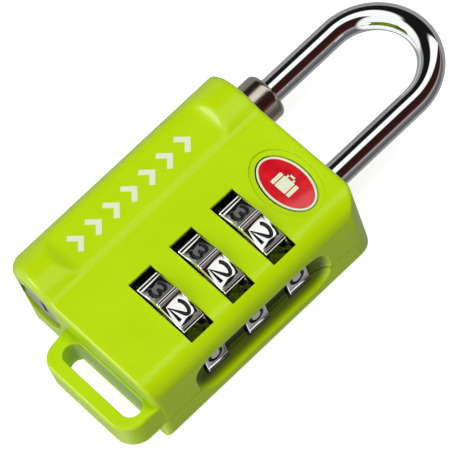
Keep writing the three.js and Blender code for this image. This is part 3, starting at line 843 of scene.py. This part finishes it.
def case():
    """The two painted halves."""
    for node, name in (("front_shell", "front_case"), ("rear_shell", "rear_case")):
        bm = merged(node)
        simplify_flats(bm)
        if node == "front_shell":
            soften_label(bm)
            round_rims(bm)
        mesh = eased(bm, name, case_edge, 4, slide=False)
        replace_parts(piece(name, mesh, "case", "lime_paint", PAINT), node)


# ---------------------------------------------------------------- number wheels

def ring_of(x, y, a, b, start=0, end=360, count=28):
    """Points of an oval or of a part of it, for a number's stroke."""
    angles = [math.radians(start + (end - start) * i / count) for i in range(count + 1)]
    return [(x + a * math.cos(t), y + b * math.sin(t)) for t in angles]


HALF, TALL = 1.2, 1.05
GROOVE = 0.30
GROOVE_LIFT = 0.06
DIGITS = (
    [ring_of(0, 0, HALF * 0.95, TALL)],
    [[(-0.55, TALL * 0.55), (0.1, TALL), (0.1, -TALL)]],
    [ring_of(0, TALL * 0.42, HALF * 0.95, TALL * 0.58, 165, -35, 16)
     + [(-HALF, -TALL), (HALF, -TALL)]],
    [ring_of(0, TALL * 0.5, HALF * 0.85, TALL * 0.5, 165, -90, 14)
     + ring_of(0, -TALL * 0.5, HALF * 0.95, TALL * 0.52, 90, -165, 14)],
    [[(0.55, -TALL), (0.55, TALL), (-HALF, -TALL * 0.35), (HALF, -TALL * 0.35)]],
    [[(HALF * 0.9, TALL), (-HALF * 0.75, TALL), (-HALF * 0.85, TALL * 0.15)]
     + ring_of(0, -TALL * 0.35, HALF * 0.95, TALL * 0.65, 135, -150, 16)],
    [ring_of(0, -TALL * 0.36, HALF * 0.95, TALL * 0.62),
     [(-HALF * 0.9, -TALL * 0.25), (-HALF * 0.5, TALL * 0.6), (HALF * 0.5, TALL)]],
    [[(-HALF, TALL), (HALF, TALL), (-HALF * 0.2, -TALL)]],
    [ring_of(0, TALL * 0.5, HALF * 0.8, TALL * 0.48),
     ring_of(0, -TALL * 0.48, HALF * 0.95, TALL * 0.54)],
    [ring_of(0, TALL * 0.36, HALF * 0.95, TALL * 0.62),
     [(HALF * 0.9, TALL * 0.25), (HALF * 0.5, -TALL * 0.6), (-HALF * 0.5, -TALL)]],
)


def digit_paths(y, radius):
    """The strokes of 0 to 9 round the wheel, 1 and 2 on either side of the front."""
    data = bpy.data.curves.new("digit_paths", "CURVE")
    data.dimensions = "3D"
    for number, strokes in enumerate(DIGITS):
        angle = math.radians(90 - 360 / FACETS * number)
        out = Vector((math.sin(angle), 0, math.cos(angle)))
        side = Vector((math.cos(angle), 0, -math.sin(angle)))
        for stroke in strokes:
            closed = math.dist(stroke[0], stroke[-1]) < 1e-6
            points = stroke[:-1] if closed else stroke
            spline = data.splines.new("POLY")
            spline.points.add(len(points) - 1)
            spline.use_cyclic_u = closed
            for point, (u, v) in zip(spline.points, points):
                place = Vector((DIAL_X, y + v, AXIS_Z)) + out * radius + side * u
                point.co = (*(place * MM), 1.0)
    return data


def digit_cutter(y, radius):
    """Round grooves along the numbers' strokes, to be cut out of a wheel."""
    cutter = Shape("digit_grooves")
    circle = {"Resolution": 10, "Radius": cutter.size("Stroke radius", GROOVE * MM)}
    profile = cutter.node("GeometryNodeCurvePrimitiveCircle", inputs=circle)
    return cutter.mesh(cutter.swept(cutter.start(), profile), BLACK, digit_paths(y, radius))


def wheel_edge(edge, turn):
    """A wheel's outer rims are eased; the ridges between its facets stay crisp."""
    place = middle_of(edge)
    outside = math.hypot(place.x - DIAL_X, place.z - AXIS_Z) > 6.6
    along_rim = abs(edge.verts[0].co.y - edge.verts[1].co.y) < 1e-6
    return 0.14 if turn > 60 and outside and along_rim else 0.0


def number_wheels():
    """The three wheels, with their numbers cut in and filled."""
    ridge = box("dial_1")[1].z - AXIS_Z
    ridge_height, ridge_half_width, turn = 0.3, 0.45, math.pi / FACETS
    facet = (ridge - ridge_height) * math.cos(turn) + ridge_half_width * math.sin(turn)
    for k, node in enumerate(DIALS):
        body = f"number_wheel_{k + 1}"
        mesh = eased(merged(node), f"wheel_{k + 1}", wheel_edge, 3)
        mesh.materials.clear()
        mesh.materials.append(DIAL_CHROME)
        cutter = digit_cutter(middle(node).y, facet + GROOVE_LIFT)
        grooves = bpy.data.objects.new("grooves", cutter)
        bpy.context.scene.collection.objects.link(grooves)
        cut = {
            "operation": "DIFFERENCE", "solver": "EXACT", "object": grooves,
            "use_self": True, "material_mode": "TRANSFER",
        }
        mesh = with_modifiers(f"wheel_{k + 1}", mesh, ("BOOLEAN", cut))
        bpy.data.objects.remove(grooves)
        shaded(mesh, 25)
        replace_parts(piece(f"wheel_{k + 1}", mesh, body, "chrome"), node)


# ---------------------------------------------------------------- shackle and collar

def bow_wire():
    """The bent wire, with the seat ring's groove and eased ends."""
    bend_radius = (DIAL_X - KEY_X) / 2
    bend_y = SHACKLE_HIGH.y - WIRE - bend_radius
    bow = Shape("bow_wire")
    wire = bow.size("Wire radius", WIRE * MM)
    bend = bow.size("Bend radius", bend_radius * MM)
    low = bow.size("Long end", SHACKLE_LOW.y * MM)
    high = bow.size("Bend height", bend_y * MM)
    toe = bow.size("Short end", (TOP + 0.2) * MM)
    groove = bow.size("Groove height", middle("spring_seat_ring").y * MM)
    steps, sides = 500, 56
    long_leg = high - low
    short_leg = high - toe
    whole = long_leg + bend * math.pi + short_leg
    share = bow.node("GeometryNodeInputIndex") / (steps - 1)
    run = share * whole
    turn = bow.node("ShaderNodeClamp", inputs=[(run - long_leg) / bend, 0.0, math.pi])
    past_bend = run - long_leg - bend * math.pi
    down = past_bend.maths("MAXIMUM", past_bend, 0.0)
    y = low + run.maths("MINIMUM", run, long_leg) + bend * turn.maths("SINE", turn) - down
    x = (DIAL_X + KEY_X) / 2 * MM + bend * turn.maths("COSINE", turn)
    count = {"Count": steps, "Start Location": (0, 0, 0), "Offset": (0, 0, MM)}
    line = bow.node("GeometryNodeMeshLine", inputs=count)
    path = bow.node("GeometryNodeMeshToCurve", inputs=[line])
    path = bow.moved(path, bow.vector(x, y, AXIS_Z * MM))
    end_length, end_loss, groove_loss = 0.35, 0.16, 0.2
    end_gap = run.maths("MINIMUM", run, whole - run)
    ease = 1 - end_gap / (end_length * MM)
    ease = ease.maths("MAXIMUM", ease, 0.0)
    ends = 1 - end_loss * ease * ease
    waist = abs(run + low - groove) / MM
    neck = 1 - groove_loss * (1 - waist.smooth(0.44, 0.56))
    radii = bow.node("GeometryNodeSetCurveRadius", inputs={"Curve": path, "Radius": 1.0})
    circle = {"Resolution": sides, "Radius": wire}
    profile = bow.node("GeometryNodeCurvePrimitiveCircle", inputs=circle)
    return bow.mesh(bow.swept(radii, profile, Scale=ends * neck), CHROME)


def block(bm, place, size, rounding, segments, upright_only=False):
    """Adds a box with eased edges about a place, in millimetres."""
    moved = Matrix.Translation(Vector(place) * MM)
    scaled = Matrix.Diagonal((*(Vector(size) * MM), 1.0))
    made = bmesh.ops.create_cube(bm, size=1.0, matrix=moved @ scaled)
    edges = {edge for vert in made["verts"] for edge in vert.link_edges}
    if upright_only:
        edges = {e for e in edges if abs(e.verts[0].co.z - e.verts[1].co.z) > 1e-6}
    bmesh.ops.bevel(bm, geom=list(edges), offset=rounding * MM, segments=segments,
                    profile=0.5, affect="EDGES")


def lugs(bm):
    """The three lugs on the long leg, one above each wheel's middle."""
    for node in DIALS:
        place = Vector((DIAL_X - 2.25, middle(node).y + 1.1, AXIS_Z))
        block(bm, place, (2.5, 1.4, 1.6), 0.12, 2)


def shackle():
    """The wire and its lugs, as one piece."""
    bm = bmesh.new()
    bm.from_mesh(bow_wire())
    lugs(bm)
    made = piece("shackle_bow", mesh_of(bm, "shackle_bow", 40), "bow", "chrome", CHROME)
    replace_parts(made, "shackle")


def collar():
    """The turned collar: a socket for the toe above, and one for its spring below."""
    radius = (COLLAR_HIGH.x - COLLAR_LOW.x) / 2
    top, low = COLLAR_HIGH.y, COLLAR_LOW.y
    spring_socket, spring_depth = WIRE + 0.1, 4.6
    toe_socket, toe_depth = WIRE + 0.2, 4.0
    shoulder, lip = 0.9, 0.15
    spring_seat = low + spring_depth
    profile = [(0, spring_seat), (spring_socket, spring_seat), (spring_socket, low)]
    profile += [(radius - lip, low), (radius, low + lip)]
    profile += quarter(radius - shoulder, top - shoulder, shoulder, 0, 90)
    profile += quarter(toe_socket + lip, top - lip, lip, 90, 180, 4)
    profile += [(toe_socket, top - toe_depth), (0, top - toe_depth)]
    mesh = spun("toe_collar", profile, KEY_X, AXIS_Z)
    made = piece("toe_collar", mesh, "latch", "nickel", NICKEL)
    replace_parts(made, "collar")


# ---------------------------------------------------------------- badge and printed marks

def oval(name, profile, slot, material, sides=96):
    """A closed shape of ovals about the badge's middle, given by insets and heights."""
    centre = middle("badge_inlay")
    a = (BADGE_HIGH.x - BADGE_LOW.x) / 2
    b = (BADGE_HIGH.y - BADGE_LOW.y) / 2
    bm = bmesh.new()
    rings = []
    for inset, z in profile:
        ring = []
        for i in range(sides):
            angle = 2 * math.pi * i / sides
            x = centre.x + (a - inset) * math.cos(angle)
            y = centre.y + (b - inset) * math.sin(angle)
            ring.append(bm.verts.new(Vector((x, y, z)) * MM))
        rings.append(ring)
    for here, there in zip(rings, rings[1:]):
        for i in range(sides):
            j = (i + 1) % sides
            bm.faces.new([here[i], here[j], there[j], there[i]])
    bm.faces.new(rings[0])
    bm.faces.new(rings[-1])
    bmesh.ops.recalc_face_normals(bm, faces=bm.faces)
    return piece(name, mesh_of(bm, name, 35), "case", slot, material)


def badge():
    """A domed oval of red enamel in a pale rim."""
    top, low = BADGE_HIGH.z, BADGE_LOW.z
    rim = [(0, low), (0, top - 0.12), (0.04, top - 0.03), (0.12, top)]
    rim += [(0.26, top), (0.34, top - 0.05), (0.36, top - 0.2)]
    oval("badge_rim", rim, None, INK)

    inset, edge, dome_width, dome_height = 0.37, top - 0.14, 2.6, 0.22
    dome = [(inset, low + 0.2), (inset, edge)]
    for t in (0.05, 0.1, 0.2, 0.35, 0.5, 0.75, 1.0):
        dome.append((inset + dome_width * t, edge + dome_height * math.sin(t * math.pi / 2)))
    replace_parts(oval("badge_enamel", dome, "red_enamel", ENAMEL), "badge_inlay")


def case_mark():
    """A plain travel case in pale print: a body in three panels under a handle."""
    centre = middle("badge_inlay")
    thickness = 0.06
    z = BADGE_HIGH.z + 0.06
    body_low, body_high = -1.35, 0.65
    handle_low, handle_inside, handle_top = 0.62, 1.05, 1.35
    panels = (
        (-1.9, -1.25, body_low, body_high),
        (-1.05, 1.05, body_low, body_high),
        (1.25, 1.9, body_low, body_high),
        (-0.75, 0.75, handle_inside, handle_top),
        (-0.75, -0.45, handle_low, handle_top),
        (0.45, 0.75, handle_low, handle_top),
    )
    bm = bmesh.new()
    for x0, x1, y0, y1 in panels:
        place = (centre.x + (x0 + x1) / 2, centre.y + (y0 + y1) / 2, z)
        block(bm, place, (x1 - x0, y1 - y0, thickness), 0.12, 3, upright_only=True)
    piece("badge_case_mark", mesh_of(bm, "badge_case_mark", 30), "case", None, INK)


def chevrons():
    """A row of plain chevrons printed on the column's flat."""
    row = Shape("chevron_row")
    pitch = row.size("Pitch", 3.42 * MM)
    stroke = row.size("Stroke", 0.85 * MM)
    half = row.size("Half width", 1.5 * MM)
    count = 7
    side = row.node("GeometryNodeInputIndex") - 1.0
    points = row.node("GeometryNodeMeshLine", inputs={"Count": 3})
    bend = row.node("GeometryNodeMeshToCurve", inputs=[points])
    bend = row.moved(bend, row.vector(side * half, half * (0.2 - abs(side) * 0.9), 0.0))
    section = {"Width": stroke, "Height": 0.06 * MM}
    bar = row.node("GeometryNodeCurvePrimitiveQuadrilateral", inputs=section)
    corner = 1.0 + 0.34 * (1.0 - abs(side))
    arms = row.swept(bend, bar, Scale=corner)
    row_middle, print_height = -0.45 * MM, (LABEL_Z + 0.005) * MM
    first = row.vector(KEY_X * MM, row_middle - pitch * (count - 1) / 2, print_height)
    steps = {"Count": count, "Start Location": first, "Offset": row.vector(0.0, pitch, 0.0)}
    line = row.node("GeometryNodeMeshLine", inputs=steps)
    each = {"Points": line, "Instance": arms}
    marks = row.node("GeometryNodeInstanceOnPoints", inputs=each)
    piece("label_chevrons", shaded(row.mesh(marks, INK)), "case", None, INK)


# ---------------------------------------------------------------- inner pieces

INNER_METALS = (
    (BRASS, ("clutch_sleeve_", "key_barrel", "wafer_")),
    (ZINC, ("cam_drum", "latch_carriage")),
    (SPRING_STEEL, ("drive_pin_", "detent_spring", "spring_seat_ring", "lift_spring",
                    "plug_clip", "cam_follower_pin", "collar_spring")),
)


def inner_pieces():
    """The mechanism keeps its modelled shape and takes its metals."""
    for node, made in nodes.items():
        for metal, starts in INNER_METALS:
            if node.startswith(starts):
                made.data.materials.clear()
                made.data.materials.append(metal)


def collar_coil():
    """The collar's spring, a copy of the modelled coil on the latch's body."""
    mesh = nodes["collar_spring"].data.copy()
    made = piece("collar_coil", mesh, "latch", "spring_steel", SPRING_STEEL)
    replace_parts(made, "collar_spring")
    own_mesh(made)


def plug_edge(edge, turn):
    """Only the key plug's outer face is eased."""
    return 0.15 if turn > 60 and middle_of(edge).y < BOTTOM + 1.3 else 0.0


def key_face():
    """The key plug, whose slotted face shows in the column's lower end."""
    mesh = eased(merged("key_plug"), "key_core_plug", plug_edge, 3)
    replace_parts(piece("key_core_plug", mesh, "key_core", "zinc", ZINC), "key_plug")


case()
number_wheels()
shackle()
collar()
badge()
case_mark()
chevrons()
key_face()
collar_coil()
inner_pieces()


# ---------------------------------------------------------------- floor, light and camera

def stage_floor():
    """A wide pale sheet, just under the lock's flat back."""
    half_width, drop = 3.0, 0.05
    bm = bmesh.new()
    bmesh.ops.create_grid(bm, x_segments=1, y_segments=1, size=half_width)
    floor = bpy.data.objects.new("floor", mesh_of(bm, "floor"))
    bpy.context.scene.collection.objects.link(floor)
    pale = Finish("floor_pale")
    grain = pale.noise(pale.place(), 0.02)
    floor.data.materials.append(pale.surface(
        Base_Color=(0.5, 0.5, 0.5), Roughness=0.9 + 0.05 * grain,
        Emission_Color=(1.0, 1.0, 1.0), Emission_Strength=0.8))
    floor.data.transform(Matrix.Translation((0, 0, -drop * MM)))
    floor.visible_diffuse = False
    floor.visible_glossy = False


def area_light(name, place, size, power, glint=False):
    """A square light that faces the lock; a glint shows only in its gloss."""
    light = bpy.data.lights.new(name, "AREA")
    light.shape = "RECTANGLE"
    light.size = light.size_y = size
    light.energy = power
    made = bpy.data.objects.new(name, light)
    made.location = place
    made.rotation_euler = (-Vector(place)).to_track_quat("-Z", "Y").to_euler()
    made.visible_glossy = glint
    made.visible_diffuse = not glint
    bpy.context.scene.collection.objects.link(made)


def studio_world():
    """A room in bands round the lock's length: bright panels, dark gaps and a warm side."""
    room = Finish("studio", "worlds")
    bpy.context.scene.world = room.material
    ray = room.node("ShaderNodeTexCoord", output="Generated")
    x, y, z = room.parts(ray)
    turn = x.maths("ARCTAN2", x, z) / (2 * math.pi) + 0.5
    grey, dim, pale = (0.38, 0.38, 0.39), (0.20, 0.20, 0.21), (0.52, 0.52, 0.53)
    black, white = (0.015, 0.015, 0.015), (1.8, 1.8, 1.78)
    brown, maroon = (0.04, 0.02, 0.015), (0.06, 0.015, 0.012)
    rose, blush = (0.22, 0.06, 0.05), (0.8, 0.75, 0.74)
    bands = (
        (-180, pale), (-68, pale), (-60, black), (-24, black), (-20, white), (12, white),
        (17, brown), (66, maroon), (78, rose), (84, blush), (94, grey), (108, dim),
        (138, dim), (150, pale), (180, pale),
    )
    stops = [((angle + 180) / 360, colour) for angle, colour in bands]
    colour = room.node("ShaderNodeValToRGB", {"stops": stops}, [turn])
    colour = room.mix(y.smooth(-0.34, -0.5), colour, (1.7, 1.7, 1.7))
    light = room.node("ShaderNodeBackground", inputs={"Color": colour, "Strength": 0.68})
    room.node("ShaderNodeOutputWorld", inputs={"Surface": light})


def camera():
    """A long lens, from above the lower right of the front."""
    place = Vector((256.2, -99.62, 490.94))
    right = Vector((0.6695, 0.7164, -0.1965))
    up = Vector((-0.585, 0.6715, 0.4549))
    back = right.cross(up).normalized()
    up = back.cross(right).normalized()
    right.normalize()
    lens = bpy.data.cameras.new("camera")
    lens.lens = 320
    lens.sensor_width = 36
    lens.clip_start, lens.clip_end = 0.01, 10
    made = bpy.data.objects.new("camera", lens)
    turned = Matrix((right, up, back)).transposed().to_4x4()
    made.matrix_world = Matrix.Translation(place * MM) @ turned
    bpy.context.scene.collection.objects.link(made)
    bpy.context.scene.camera = made


stage_floor()
studio_world()
area_light("key", (0.12, 0.12, 0.65), 0.3, 2.0)
area_light("low_glint", (-0.36, -0.61, 0.37), 0.35, 2.5, glint=True)
camera()
bpy.context.scene.view_settings.view_transform = "Standard"
